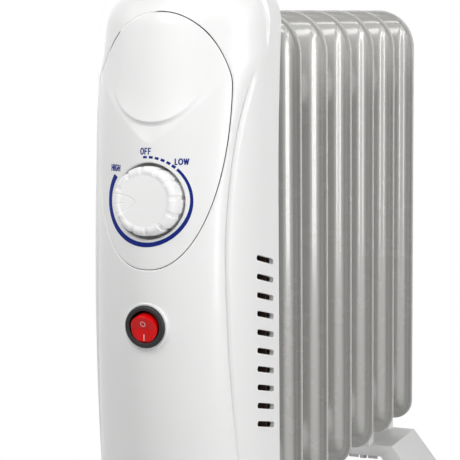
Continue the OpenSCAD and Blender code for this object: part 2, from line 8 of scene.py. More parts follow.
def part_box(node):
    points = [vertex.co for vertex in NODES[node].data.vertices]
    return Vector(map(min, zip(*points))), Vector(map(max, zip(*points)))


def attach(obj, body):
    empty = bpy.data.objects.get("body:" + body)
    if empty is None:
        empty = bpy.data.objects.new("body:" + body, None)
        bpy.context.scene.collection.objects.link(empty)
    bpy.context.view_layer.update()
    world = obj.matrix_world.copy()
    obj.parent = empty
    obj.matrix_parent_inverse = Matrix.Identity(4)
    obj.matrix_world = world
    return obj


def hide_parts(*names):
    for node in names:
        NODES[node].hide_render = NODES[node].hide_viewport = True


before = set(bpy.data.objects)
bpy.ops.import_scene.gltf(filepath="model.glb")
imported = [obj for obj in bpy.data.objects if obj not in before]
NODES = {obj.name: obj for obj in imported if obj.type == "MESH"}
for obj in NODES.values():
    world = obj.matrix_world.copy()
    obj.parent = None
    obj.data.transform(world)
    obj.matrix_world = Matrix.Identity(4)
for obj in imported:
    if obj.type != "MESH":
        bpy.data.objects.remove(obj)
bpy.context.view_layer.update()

MM = 0.001

# ---------------------------------------------------------------- sizes, in millimetres

HOUSING_LOW, HOUSING_HIGH = (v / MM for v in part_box("housing_shell"))
HOUSING_D = 73.5
FRONT_Y = HOUSING_HIGH.y - HOUSING_D
TOP_Z, BOTTOM_Z = HOUSING_HIGH.z, HOUSING_LOW.z
TOP_R, BOTTOM_R = 26, 10
KNOB_Z, SWITCH_Z = 260, 193.5
PANEL_FRONT_Z = 190
PANEL_ARC_R = 680
HALF_W, FLARE, FLARE_REACH = 47.6, 1.8, 85
BOW, BOW_SHARE = 46.4, 0.5
FRONT_ROUND = 0.7
WALL = 2.4
COVER_GAP = 0.36
EDGE_R = 0.6

EGG_HALF_W, EGG_WIDE_Z, EGG_BELOW, EGG_ABOVE, EGG_POWER = 39.1, 318, 94.2, 41, 2.3

# Groove beside the cover: height and distance from the middle
GROOVE = [(60, 43.0), (100, 42.4), (130, 41.3), (151, 40.5), (174, 39.6), (199, 39.0),
          (217, 38.6), (230, 38.4), (242, 38.5), (260, 39.1), (278, 40.2), (290, 41.3),
          (300, 42.4), (309, 43.8), (318, 45.2), (325, 46.5), (340, 48.4), (380, 50)]
GROOVE_STEPS = (-6, -3, 0, 3, 6)


def setback(z):
    return (z - PANEL_FRONT_Z) ** 2 / (2 * PANEL_ARC_R)


def half_width(z):
    return HALF_W + FLARE * (max(0, z - KNOB_Z) / FLARE_REACH) ** 2


def side_start(z):
    """Distance back from the foremost line at which the curved front turns into the flat side."""
    return BOW + BOW_SHARE * setback(z)


def corner_inset(z):
    """How far the housing's rounded top and bottom edges draw its outline in at height z."""
    edges = ((TOP_R, z - (TOP_Z - TOP_R)), (BOTTOM_R, BOTTOM_Z + BOTTOM_R - z))
    for radius, over in edges:
        if over > 0:
            return radius - math.sqrt(max(0, radius ** 2 - over ** 2))
    return 0


def table(rows, at):
    """Straight interpolation in rows of (position, value)."""
    if at <= rows[0][0]:
        return rows[0][1]
    for (a, va), (b, vb) in zip(rows, rows[1:]):
        if at <= b:
            return va + (vb - va) * (at - a) / (b - a)
    return rows[-1][1]


def groove_x(z):
    """Distance of the groove from the middle, averaged so that it has no corners."""
    near = [table(GROOVE, z + step) for step in GROOVE_STEPS]
    return sum(near) / len(near)


def smooth(t):
    t = min(1, max(0, t))
    return t * t * (3 - 2 * t)


# ---------------------------------------------------------------- relief of the moulded panel

LEAN, LEAN_REACH = 0.27, 9
CREASE_Z, CREASE_SLOPE, CREASE_BEND = 290.4, 0.8, 0.004
CREASE_TIP, CREASE_SQUARE, CREASE_SOFT = 3, 0.75, 0.3
CRESCENT_RISE, CRESCENT_HALF_W, CRESCENT_Z = 1.9, 27.5, 300.4
CRESCENT_BEND, CRESCENT_TURN_UP, CRESCENT_TILT = 0.0165, 0.00001, 0.034
CRESCENT_LOW, CRESCENT_HIGH, CRESCENT_FADE = -1.6, 1.1, 26
CRESCENT_SWELL, CRESCENT_THIN = 1.7, 1.1
GROOVE_DEPTH = [(70, 0), (100, 0.6), (160, 1.0), (220, 1.2), (270, 1.3), (310, 1.35),
                (322, 1.2), (326.5, 0)]
GROOVE_WALL = [(60, 3.2), (260, 3.0), (300, 2.0), (326, 1.2)]
CREVICE_SHARE, CREVICE_HALF_W, GROOVE_OUTER_W = 0.75, 0.32, 1.25


def crease_relief(x, z):
    """Above a V shaped crease the panel leans back a little more."""
    across = math.sqrt(x * x + CREASE_TIP ** 2) - CREASE_TIP
    over = CREASE_SQUARE * (z - (CREASE_Z + CREASE_SLOPE * across + CREASE_BEND * x * x))
    over = (over + math.sqrt(over * over + CREASE_SOFT)) / 2
    return LEAN * LEAN_REACH * (1 - math.exp(-over / LEAN_REACH))


def crescent_relief(x, z):
    """A curved step in the V: the panel above it stands forward again."""
    strength = 1 - (x / CRESCENT_HALF_W) ** 2
    if strength <= 0:
        return 0
    slope = CRESCENT_TILT * abs(x)
    foot = CRESCENT_Z + CRESCENT_BEND * x * x + CRESCENT_TURN_UP * x ** 4
    over = (z - foot) / math.sqrt(1 + slope * slope)
    risen = (over - CRESCENT_LOW) / (CRESCENT_HIGH - CRESCENT_LOW)
    share = min(1, max(0, risen)) ** CRESCENT_SWELL
    fade = math.exp(-max(0, over - CRESCENT_HIGH) / CRESCENT_FADE)
    return -CRESCENT_RISE * strength ** CRESCENT_THIN * share * fade


def groove_relief(x, z):
    """A soft inner wall, a fine crevice at the bottom and a steep outer wall."""
    depth = table(GROOVE_DEPTH, z)
    if depth <= 0:
        return 0
    off = abs(x) - groove_x(z)
    crevice = CREVICE_SHARE * depth * max(0, 1 - abs(off) / CREVICE_HALF_W)
    if off < 0:
        return crevice + depth * math.exp(off / table(GROOVE_WALL, z))
    return crevice + depth * (1 - smooth(off / GROOVE_OUTER_W))


def relief(x, z):
    return crease_relief(x, z) + crescent_relief(x, z) + groove_relief(x, z)


def panel_point(x, z, depth=0.0, shaped=True):
    """Point of the housing's front at x, z, at a depth under it. Shaped follows the relief."""
    corner = corner_inset(z)
    half = half_width(z) - corner
    middle = side_start(z)
    front = setback(z) + corner * FRONT_ROUND
    lean = max(-1, min(1, x / half))
    fall = math.sqrt(max(0, 1 - lean * lean))
    inward = depth + (relief(x, z) if shaped else 0)
    back = FRONT_Y + middle - (middle - front) * fall + inward * fall
    return Vector((x - inward * lean, back, z))


# ---------------------------------------------------------------- building helpers

NUDGE, CUT_TRIES = 0.003 * MM, 5
SHARP = 35
DOUBLES, CUT_DOUBLES = 0.0005, 1e-7


def shade(bm, sharp):
    """Smooth faces, with the edges sharper than the given angle kept crisp."""
    for face in bm.faces:
        face.smooth = True
    limit = math.radians(sharp)
    for edge in bm.edges:
        edge.smooth = len(edge.link_faces) == 2 and edge.calc_face_angle(0) < limit


def to_object(bm, name, sharp=SHARP):
    """Makes the object, in metres."""
    bmesh.ops.scale(bm, vec=(MM, MM, MM), verts=bm.verts)
    shade(bm, sharp)
    mesh = bpy.data.meshes.new(name)
    bm.to_mesh(mesh)
    bm.free()
    made = bpy.data.objects.new(name, mesh)
    bpy.context.scene.collection.objects.link(made)
    return made


def place(made, body, material, replaces=()):
    """Gives a piece its finish, and says what it rides on and which nodes it stands for."""
    made.data.materials.clear()
    made.data.materials.append(material)
    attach(made, body)
    if replaces:
        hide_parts(*replaces)
    return made


def tidy(bm, doubles=DOUBLES):
    bmesh.ops.remove_doubles(bm, verts=bm.verts, dist=doubles)
    bmesh.ops.dissolve_degenerate(bm, edges=bm.edges, dist=doubles)
    bmesh.ops.recalc_face_normals(bm, faces=bm.faces)


def sheet(columns, rows, point):
    """A grid of columns by rows, each of its corners laid at point(column, row)."""
    bm = bmesh.new()
    bmesh.ops.create_grid(bm, x_segments=columns - 1, y_segments=rows - 1, size=0.5)
    xs = sorted({round(v.co.x, 5) for v in bm.verts})
    ys = sorted({round(v.co.y, 5) for v in bm.verts})
    at_x = {x: i for i, x in enumerate(xs)}
    at_y = {y: i for i, y in enumerate(ys)}
    for v in bm.verts:
        v.co = point(at_x[round(v.co.x, 5)], at_y[round(v.co.y, 5)])
    return bm


def cut(made, cutters, operation="DIFFERENCE"):
    """Cuts solids out of an object, or joins them to it.

    A cut that loses half the faces has failed, and is tried again a few micrometres off.
    """
    least = len(made.data.polygons) // 2
    for attempt in range(CUT_TRIES):
        for cutter in cutters:
            cutter.location = (NUDGE * attempt, -NUDGE * attempt, NUDGE * attempt)
            modifier = made.modifiers.new("cut", "BOOLEAN")
            modifier.operation, modifier.solver, modifier.object = operation, "EXACT", cutter
        bpy.context.view_layer.update()
        depsgraph = bpy.context.evaluated_depsgraph_get()
        result = bpy.data.meshes.new_from_object(made.evaluated_get(depsgraph))
        made.modifiers.clear()
        if len(result.polygons) > least:
            break
        print("cut tried again:", made.name)
    made.data = result
    for cutter in cutters:
        bpy.data.objects.remove(cutter)


def crisp(made, sharp):
    """Marks sharp edges again, after a cut."""
    bm = bmesh.new()
    bm.from_mesh(made.data)
    bmesh.ops.remove_doubles(bm, verts=bm.verts, dist=CUT_DOUBLES)
    bmesh.ops.dissolve_degenerate(bm, edges=bm.edges, dist=CUT_DOUBLES)
    shade(bm, sharp)
    bm.to_mesh(made.data)
    bm.free()


def spun(profile, steps=96):
    """A profile of (radius, height) turned about +Z."""
    bm = bmesh.new()
    verts = [bm.verts.new((r, 0, h)) for r, h in profile]
    edges = [bm.edges.new(pair) for pair in zip(verts, verts[1:])]
    bmesh.ops.spin(bm, geom=verts + edges, cent=(0, 0, 0), axis=(0, 0, 1), angle=math.tau,
                   steps=steps, use_merge=True)
    tidy(bm)
    return bm


def arc(centre, radius, start, end, steps):
    """Points on an arc in the (radius, height) plane, angles in degrees."""
    angles = [math.radians(start + (end - start) * i / steps) for i in range(steps + 1)]
    return [(centre[0] + radius * math.cos(a), centre[1] + radius * math.sin(a)) for a in angles]


def lip_profile(degrees):
    """Rounded lip as (distance outside the opening's edge, depth) at each angle in degrees."""
    return [(EDGE_R * (1 - math.cos(math.radians(a))), EDGE_R * (1 - math.sin(math.radians(a))))
            for a in degrees]


KNOB_LEAN = math.atan((KNOB_Z - PANEL_FRONT_Z) / PANEL_ARC_R)
KNOB_FRAME = (Matrix.Translation((0, FRONT_Y + setback(KNOB_Z), KNOB_Z))
              @ Matrix.Rotation(math.radians(90) - KNOB_LEAN, 4, "X"))
WELL_R, WELL_DEPTH = 20.4, 9.5
SWITCH_PROUD = 0.5
WELL_FRAME = KNOB_FRAME @ Matrix.Translation((0, 0, -WELL_DEPTH))
SWITCH_FRAME = (Matrix.Translation((0, FRONT_Y + setback(SWITCH_Z) - SWITCH_PROUD, SWITCH_Z))
                @ Matrix.Rotation(math.radians(90), 4, "X"))


# ---------------------------------------------------------------- materials

COAT_ROUGHNESS, GRAIN_HEIGHT = 0.12, 0.0005
NOISE_LOW, NOISE_HIGH = 0.3, 0.7
GLOSS_PATCHES = 7


def material(name, colour, roughness, metallic=0.0, coat=0.0, specular=0.5, grain=(900, 0.02),
             cloud=(9, 0.03), wear=0.05, extra=None):
    """A finish with a fine grain, soft clouding of its tone and uneven gloss.

    Grain is (scale, strength), cloud is (scale, share of the tone), and wear is how far the
    roughness wanders. All of it lies on Object coordinates.
    """
    made = bpy.data.materials.new(name)
    made.use_nodes = True
    nodes, links = made.node_tree.nodes, made.node_tree.links
    shader = nodes["Principled BSDF"]
    shader.inputs["Metallic"].default_value = metallic
    shader.inputs["Coat Weight"].default_value = coat
    shader.inputs["Coat Roughness"].default_value = COAT_ROUGHNESS
    shader.inputs["Specular IOR Level"].default_value = specular
    place_node = nodes.new("ShaderNodeTexCoord")

    def noise(scale, detail):
        node = nodes.new("ShaderNodeTexNoise")
        node.inputs["Scale"].default_value = scale
        node.inputs["Detail"].default_value = detail
        links.new(place_node.outputs["Object"], node.inputs["Vector"])
        return node.outputs["Fac"]

    def ramp(source, low, high):
        node = nodes.new("ShaderNodeMapRange")
        node.inputs["From Min"].default_value = NOISE_LOW
        node.inputs["From Max"].default_value = NOISE_HIGH
        node.inputs["To Min"].default_value = low
        node.inputs["To Max"].default_value = high
        links.new(source, node.inputs["Value"])
        return node.outputs["Result"]

    tone = nodes.new("ShaderNodeMix")
    tone.data_type, tone.blend_type = "RGBA", "MULTIPLY"
    tone.inputs["Factor"].default_value = 1
    tone.inputs["A"].default_value = (*colour, 1)
    grey = nodes.new("ShaderNodeCombineColor")
    level = ramp(noise(cloud[0], 3), 1 - cloud[1], 1)
    for channel in ("Red", "Green", "Blue"):
        links.new(level, grey.inputs[channel])
    links.new(grey.outputs["Color"], tone.inputs["B"])
    links.new(tone.outputs["Result"], shader.inputs["Base Color"])
    patches = noise(cloud[0] * GLOSS_PATCHES, 4)
    links.new(ramp(patches, roughness - wear * 0.5, roughness + wear), shader.inputs["Roughness"])
    bump = nodes.new("ShaderNodeBump")
    bump.inputs["Strength"].default_value = grain[1]
    bump.inputs["Distance"].default_value = GRAIN_HEIGHT
    links.new(noise(grain[0], 2), bump.inputs["Height"])
    links.new(bump.outputs["Normal"], shader.inputs["Normal"])
    if extra:
        extra(shader)
    return made


def glow(shader):
    """Light that spreads inside a clear red lens."""
    shader.inputs["Subsurface Weight"].default_value = 0.25
    shader.inputs["Subsurface Radius"].default_value = (1.0, 0.12, 0.08)
    shader.inputs["Subsurface Scale"].default_value = 0.003


WHITE = material("white_moulding", (0.84, 0.84, 0.835), 0.36, coat=0.12, grain=(1400, 0.06),
                 cloud=(14, 0.012))
SATIN = material("satin_white", (0.92, 0.92, 0.915), 0.55, specular=0.2, grain=(900, 0.03),
                 cloud=(30, 0.01))
PAINT = material("fin_enamel", (0.47, 0.465, 0.45), 0.26, coat=0.55, specular=0.6,
                 grain=(700, 0.015), cloud=(12, 0.02), wear=0.025)
ZINC = material("zinc_plate", (0.62, 0.63, 0.64), 0.36, metallic=1.0, grain=(500, 0.08),
                cloud=(40, 0.15), wear=0.12)
BRASS = material("brass_part", (0.72, 0.55, 0.24), 0.34, metallic=1.0, grain=(500, 0.06),
                 cloud=(60, 0.15), wear=0.1)
PHENOLIC = material("cream_phenolic", (0.72, 0.69, 0.60), 0.5, grain=(700, 0.1),
                    cloud=(60, 0.08))
BLACK = material("black_moulding", (0.013, 0.013, 0.014), 0.42, specular=0.35,
                 grain=(1500, 0.08), cloud=(60, 0.2), wear=0.08)
RED = material("red_lens", (0.74, 0.003, 0.004), 0.3, coat=0.12, specular=0.15,
               grain=(500, 0.02), cloud=(120, 0.15), extra=glow)
NEON = material("neon_glass", (0.85, 0.42, 0.22), 0.12, coat=0.5, grain=(300, 0.02),
                cloud=(80, 0.1))
# Painted shade: the heat shield is dark brown so that the shadowed inside seen through the vent
# slots looks dark.
VENT_SHADE_BROWN = material("vent_painted_shade", (0.075, 0.045, 0.032), 0.7, specular=0.2, grain=(700, 0.1),
                cloud=(40, 0.2))
RUBBER = material("black_rubber", (0.03, 0.03, 0.03), 0.75, grain=(900, 0.2), cloud=(50, 0.25))
PRINT = material("blue_print", (0.004, 0.018, 0.20), 0.5, specular=0.2, grain=(1500, 0.04),
                 cloud=(60, 0.08))
MARK = material("white_mark", (0.85, 0.80, 0.80), 0.4, grain=(900, 0.04), cloud=(80, 0.05))
BROWN_WIRE = material("brown_insulation", (0.18, 0.07, 0.03), 0.45, grain=(900, 0.1),
                      cloud=(90, 0.15))
PALE_WIRE = material("glass_sleeve", (0.66, 0.63, 0.56), 0.7, grain=(1800, 0.3),
                     cloud=(90, 0.12))
BLUE_WIRE = material("blue_insulation", (0.03, 0.08, 0.30), 0.45, grain=(900, 0.1),
                     cloud=(90, 0.15))
GREEN_WIRE = material("green_insulation", (0.10, 0.32, 0.05), 0.45, grain=(900, 0.1),
                      cloud=(90, 0.15))

for finish, names in (
    (ZINC, "shield_screws knob_clip thermostat_spindle cutout_clip element_tube element_pins "
           "filler_plug foot_bolts wing_nuts"),
    (BRASS, "thermostat_bush thermostat_nut thermostat_blades switch_blades cutout_blades "
            "earth_screw element_plug"),
    (PHENOLIC, "thermostat_body thermal_cutout terminal_block"),
    (BLACK, "cord_gland gland_nut switch_body"),
    # The heat shield carries painted shade for the inside of the vents.
    (VENT_SHADE_BROWN, "heat_shield"),
    (RUBBER, "element_gasket filler_washer foot_pads"),
    (PAINT, "upper_collars lower_collars header_caps "
            "fin_1 fin_2 fin_3 fin_4 fin_5 fin_6 fin_7"),
    (WHITE, "housing_shell control_cover front_foot rear_foot"),
    (SATIN, "control_knob"), (RED, "switch_rocker"), (NEON, "neon_lamp"),
    (BROWN_WIRE, "supply_lead switched_lead"), (PALE_WIRE, "cutout_lead element_lead"),
    (BLUE_WIRE, "neutral_lead"), (GREEN_WIRE, "earth_lead"),
):
    for name in names.split():
        for slot in NODES[name].material_slots:
            slot.material = finish


# ---------------------------------------------------------------- housing skin

ROUND_R = 47
QUARTER = ROUND_R * math.pi / 2
NEAR_IN = [0, 0.3, 0.6, 1.0, 1.5, 2.1, 2.9, 3.9, 5.1, 6.5, 8.2, 10]
NEAR_OUT = [0.25, 0.5, 0.75, 1.0, 1.25, 1.6, 2.1, 2.8, 3.8, 5.2, 7]
INNER_PARTS, REAR_PARTS = 34, 26
FLOOR_ROWS, TOP_ROWS, STRAIGHT_ROWS = 4, 6, 146
BOTTOM_TURN, TOP_TURN = range(0, 90, 11), range(6, 91, 6)
REAR_LIP_AT, REAR_LIP_STEP = 68.9, 1.0


def stations(z):
    """Distances round the skin from its middle to its rear edge, closest at the groove."""
    groove = ROUND_R * math.asin(groove_x(z) / half_width(z))
    rear = QUARTER + HOUSING_D - side_start(z)
    inner = groove - NEAR_IN[-1]
    outer = groove + NEAR_OUT[-1]
    right = [inner * i / INNER_PARTS for i in range(1, INNER_PARTS)]
    right += [groove - d for d in reversed(NEAR_IN)]
    right += [groove + d for d in NEAR_OUT]
    right += [outer + (rear - outer) * i / REAR_PARTS for i in range(1, REAR_PARTS + 1)]
    return [-d for d in reversed(right)] + [0] + right


def levels():
    """Rows of the skin: (height, share by which it has closed in over the flat end)."""
    straight_low, straight = BOTTOM_Z + BOTTOM_R, TOP_Z - TOP_R - BOTTOM_Z - BOTTOM_R
    rows = [(BOTTOM_Z, 1 - i / FLOOR_ROWS) for i in range(FLOOR_ROWS)]
    rows += [(BOTTOM_Z + BOTTOM_R * (1 - math.cos(math.radians(a))), 0) for a in BOTTOM_TURN]
    rows += [(straight_low + straight * i / STRAIGHT_ROWS, 0) for i in range(STRAIGHT_ROWS + 1)]
    rows += [(TOP_Z - TOP_R * (1 - math.sin(math.radians(a))), 0) for a in TOP_TURN]
    rows += [(TOP_Z, (i + 1) / TOP_ROWS) for i in range(TOP_ROWS)]
    return rows


def skin(inset):
    """The housing's surface, moved inwards by inset. Only the outer one has the relief."""
    rows = levels()
    at_row = [stations(z) for z, _ in rows]

    def point(i, j):
        z, close = rows[j]
        d = at_row[j][i]
        corner = corner_inset(z)
        half = half_width(z) - corner - inset
        middle = side_start(z)
        front = setback(z) + corner * FRONT_ROUND + inset
        if abs(d) <= QUARTER:
            turn = d / ROUND_R
            x, s = half * math.sin(turn), middle - (middle - front) * math.cos(turn)
            if not inset:
                inward = relief(x, z)
                x, s = x - inward * math.sin(turn), s + inward * math.cos(turn)
        else:
            s = middle + abs(d) - QUARTER
            if inset and s > REAR_LIP_AT:
                half += REAR_LIP_STEP
            x = math.copysign(half, d)
        if inset:
            z = min(TOP_Z - inset, max(BOTTOM_Z + inset, z))
        return Vector((x * (1 - close), FRONT_Y + s + (HOUSING_D - s) * close, z))

    return sheet(len(at_row[0]), len(rows), point)


def shell():
    """The outer skin and the inner one, joined along the rear edge."""
    outer, inner = skin(0), skin(WALL)
    for bm in (outer, inner):
        tidy(bm)
    mesh = bpy.data.meshes.new("inner")
    inner.to_mesh(mesh)
    inner.free()
    outer.from_mesh(mesh)
    bpy.data.meshes.remove(mesh)
    rims = [e for e in outer.edges if e.is_boundary]
    bmesh.ops.bridge_loops(outer, edges=rims)
    bmesh.ops.recalc_face_normals(outer, faces=outer.faces)
    return outer


def power_curve(value):
    """Turns a circle's sine or cosine into that of the egg's fuller lower end."""
    return math.copysign(abs(value) ** (2 / EGG_POWER), value)


def egg(angle, grow=0.0):
    """Point of the cover's outline at an angle, moved outwards by grow."""
    def bare(a):
        c, s = math.cos(a), math.sin(a)
        if s >= 0:
            return Vector((EGG_HALF_W * c, EGG_WIDE_Z + EGG_ABOVE * s))
        return Vector((EGG_HALF_W * power_curve(c), EGG_WIDE_Z + EGG_BELOW * power_curve(s)))
    here, along = bare(angle), bare(angle + 0.004) - bare(angle - 0.004)
    return here + Vector((along.y, -along.x)).normalized() * grow


EGG_STEPS, EGG_FINE = 320, 4000


def egg_angles():
    """Angles that space the outline's points about evenly."""
    fine = [egg(math.tau * i / EGG_FINE) for i in range(EGG_FINE + 1)]
    run = [0]
    for a, b in zip(fine, fine[1:]):
        run.append(run[-1] + (b - a).length)
    result, k = [], 0
    for i in range(EGG_STEPS):
        goal = run[-1] * i / EGG_STEPS
        while run[k + 1] < goal:
            k += 1
        share = (goal - run[k]) / (run[k + 1] - run[k])
        result.append(math.tau * (k + share) / EGG_FINE)
    return result


EGG_ANGLES = egg_angles()


def ring_stack(rings):
    """A closed solid from rings of equal length, the first and last of them capped."""
    bm = bmesh.new()
    loops = []
    for ring in rings:
        verts = [bm.verts.new(p) for p in ring]
        loops.append([bm.edges.new((verts[i], verts[(i + 1) % len(verts)]))
                      for i in range(len(verts))])
    for a, b in zip(loops, loops[1:]):
        bmesh.ops.bridge_loops(bm, edges=a + b)
    bmesh.ops.holes_fill(bm, edges=loops[0])
    bmesh.ops.holes_fill(bm, edges=loops[-1])
    bmesh.ops.recalc_face_normals(bm, faces=bm.faces)
    return bm


LIP_TURN = (0, 15, 30, 45, 60)
LIP_SPARE, LIP_RISE = 1.2, -0.75
OPENING_IN_FRONT, OPENING_BEHIND = -12, 58


def opening_cutter():
    """The cover's opening, with a rounded lip where it meets the housing's face."""
    lip = lip_profile(LIP_TURN)
    widest = lip[-1][0] + COVER_GAP + LIP_SPARE

    def level_ring(grow, back):
        return [Vector((egg(a, grow).x, FRONT_Y + back, egg(a, grow).y)) for a in EGG_ANGLES]

    rings = [level_ring(widest, OPENING_IN_FRONT)]
    rings.append([panel_point(*egg(a, widest), LIP_RISE) for a in EGG_ANGLES])
    for grow, depth in reversed(lip):
        rings.append([panel_point(*egg(a, grow + COVER_GAP), depth) for a in EGG_ANGLES])
    rings.append(level_ring(COVER_GAP, OPENING_BEHIND))
    return to_object(ring_stack(rings), "cutter_opening")


VENT_COUNT, VENT_TOP_Z, VENT_PITCH = 10, 224.4, 10.2
VENT_S, VENT_L, VENT_H, VENT_SLOPE = 40.8, 24.6, 3.15, 13.5
VENT_INSIDE_X, VENT_REACH, VENT_SEGMENTS = 34, 24, 28


def vent_cutter():
    """All the vent slots as one set of round-ended bars through both sides."""
    bm = bmesh.new()
    for side in (-1, 1):
        for i in range(VENT_COUNT):
            made = bmesh.ops.create_circle(bm, cap_ends=True, segments=VENT_SEGMENTS,
                                           radius=VENT_H / 2)["verts"]
            for v in made:
                v.co.y += math.copysign((VENT_L - VENT_H) / 2, v.co.y if abs(v.co.y) > 1e-6 else 1)
            face = made[0].link_faces[0]
            for degrees, axis in ((90, "Y"), (-VENT_SLOPE, "X")):
                bmesh.ops.rotate(bm, verts=made, cent=(0, 0, 0),
                                 matrix=Matrix.Rotation(math.radians(degrees), 3, axis))
            bmesh.ops.translate(bm, verts=made, vec=(
                side * VENT_INSIDE_X, FRONT_Y + VENT_S + VENT_L / 2, VENT_TOP_Z - i * VENT_PITCH))
            pulled = bmesh.ops.extrude_face_region(bm, geom=[face])["geom"]
            far = [g for g in pulled if isinstance(g, bmesh.types.BMVert)]
            bmesh.ops.translate(bm, verts=far, vec=(side * VENT_REACH, 0, 0))
    bmesh.ops.recalc_face_normals(bm, faces=bm.faces)
    return to_object(bm, "cutter_vents")


def round_cutter(name, radius, low, high, matrix):
    bm = spun([(0, low), (radius, low), (radius, high), (0, high)])
    bmesh.ops.transform(bm, matrix=matrix, verts=bm.verts)
    return to_object(bm, name)


SEAT_PROFILE = [(0, -3.4), (13.1, -3.4), (12.75, -2.6), *arc((12.2, -0.5), 0.5, 0, 90, 5), (0, 0)]
SWITCH_HOLE_R, GLAND_HOLE_R, GLAND_BACK = 10, 6.5, 29
GLAND_FRAME = Matrix.Translation((0, FRONT_Y + GLAND_BACK, BOTTOM_Z))

housing = to_object(shell(), "housing_skin")
seat = spun(SEAT_PROFILE, 128)
bmesh.ops.transform(seat, matrix=SWITCH_FRAME, verts=seat.verts)
cut(housing, [to_object(seat, "boss")], "UNION")
cut(housing, [opening_cutter(), vent_cutter(),
              round_cutter("cutter_switch", SWITCH_HOLE_R, -14, 8, SWITCH_FRAME),
              round_cutter("cutter_gland", GLAND_HOLE_R, -6, 12, GLAND_FRAME)])
crisp(housing, 32)
place(housing, "heater", WHITE, ["housing_shell"])


# ---------------------------------------------------------------- control cover

COVER_CENTRE = Vector((0, 322))
STEP_FROM, STEP_TO, STEP_FINE, STEP_PLAIN = 0.14, 0.34, 0.0036, 0.0095
EDGE_TURN = (15, 30, 45, 60, 75, 90)
BACK_SHARES = (0.85, 0.7, 0.55, 0.4, 0.25, 0.1, 0.0)


def cover_shares():
    """Rings from the cover's centre to its edge, closest where the curved step runs."""
    shares, at = [0.0], 0.0
    while at < 0.995:
        at += STEP_FINE if STEP_FROM < at < STEP_TO else STEP_PLAIN
        shares.append(min(at, 1.0))
    if shares[-1] < 1.0:
        shares.append(1.0)
    return shares


def cover():
    """The cover's face, its rounded edge and its flat back, as rings round its centre.

    Each ring is (share of the way out, outward shift, depth, whether it follows the relief).
    """
    rings = [(share, -EDGE_R, 0.0, True) for share in cover_shares()]
    for angle in EDGE_TURN:
        a = math.radians(angle)
        rings.append((1.0, -EDGE_R * (1 - math.sin(a)), EDGE_R * (1 - math.cos(a)), True))
    rings += [(1.0, 0.0, WALL, False)]
    rings += [(share, 0.0, WALL, False) for share in BACK_SHARES]
    grows = {grow for _, grow, _, _ in rings}
    outlines = {grow: [egg(a, grow) for a in EGG_ANGLES] for grow in grows}

    def point(i, j):
        share, grow, depth, shaped = rings[j]
        flat = COVER_CENTRE + (outlines[grow][i % EGG_STEPS] - COVER_CENTRE) * share
        return panel_point(flat.x, flat.y, depth, shaped)

    bm = sheet(EGG_STEPS + 1, len(rings), point)
    tidy(bm)
    return bm


def well_edge(angle, grow, depth):
    """Point under the panel's face, round the well's edge moved outwards by grow."""
    x, up = (WELL_R + grow) * math.cos(angle), (WELL_R + grow) * math.sin(angle)
    z = KNOB_Z + up
    for _ in range(3):
        back = panel_point(x, z, depth).y - FRONT_Y - setback(KNOB_Z)
        z = KNOB_Z + (up - back * math.sin(KNOB_LEAN)) / math.cos(KNOB_LEAN)
    return panel_point(x, z, depth)


WELL_STEPS = 160
WELL_ANGLES = [math.tau * i / WELL_STEPS for i in range(WELL_STEPS)]
WELL_FIT, WELL_POLE = 0.03, 0.01
WELL_IN_FRONT, WELL_BEHIND = 8, -4
CUP_OUTER_DEPTH, CUP_INNER_DEPTH = 1.6, 1.3


def well_ring(radius, height):
    return [WELL_FRAME @ Vector((radius * math.cos(a), radius * math.sin(a), height))
            for a in WELL_ANGLES]


def edge_ring(grow, depth):
    return [well_edge(a, grow, depth) for a in WELL_ANGLES]


def well_cutter():
    """The hole for the well, with a rounded lip."""
    lip = lip_profile(LIP_TURN)
    rings = [well_ring(WELL_R + LIP_SPARE, WELL_DEPTH + WELL_IN_FRONT),
             edge_ring(lip[-1][0] + LIP_SPARE, LIP_RISE)]
    rings += [edge_ring(grow, depth) for grow, depth in reversed(lip)]
    rings.append(well_ring(WELL_R, WELL_BEHIND))
    return to_object(ring_stack(rings), "cutter_well")


def well_cup():
    """The well's wall and floor, from inside the cover's thickness down."""
    rings = [well_ring(WELL_POLE, -WALL), well_ring(WELL_R + WALL, -WALL),
             edge_ring(WALL, CUP_OUTER_DEPTH), edge_ring(WELL_FIT, CUP_INNER_DEPTH),
             well_ring(WELL_R + WELL_FIT, 0), well_ring(WELL_POLE, 0)]

    def point(i, j):
        return rings[j][i % len(WELL_ANGLES)]

    bm = sheet(len(WELL_ANGLES) + 1, len(rings), point)
    tidy(bm, 0.02)
    return bm


cover_piece = to_object(cover(), "cover_skin", 50)
cut(cover_piece, [well_cutter()])
crisp(cover_piece, 50)
place(to_object(well_cup(), "knob_well", 40), "heater", WHITE)
place(cover_piece, "heater", WHITE, ["control_cover"])


# ---------------------------------------------------------------- dial print

PRINT_LIFT = 0.06


def on_panel(x, z, lift=PRINT_LIFT):
    return panel_point(x, z, -lift)


RING_X, RING_Z, RING_RX, RING_RZ = -0.6, 0.0, 23.9, 23.05
BAND_ROWS = 6


def band(start, end, width_at, steps):
    """A printed band round the knob, between two angles in degrees anticlockwise from +X."""
    def point(i, j):
        angle = start + (end - start) * i / (steps - 1)
        a = math.radians(angle)
        r = width_at(angle) * (j / (BAND_ROWS - 1) - 0.5)
        x = RING_X + (RING_RX + r) * math.cos(a)
        return on_panel(x, KNOB_Z + RING_Z + (RING_RZ + r) * math.sin(a))

    return sheet(steps, BAND_ROWS, point)


def joined(parts):
    """Several bmeshes as one."""
    whole = bmesh.new()
    for part in parts:
        mesh = bpy.data.meshes.new("part")
        part.to_mesh(mesh)
        part.free()
        whole.from_mesh(mesh)
        bpy.data.meshes.remove(mesh)
    return whole


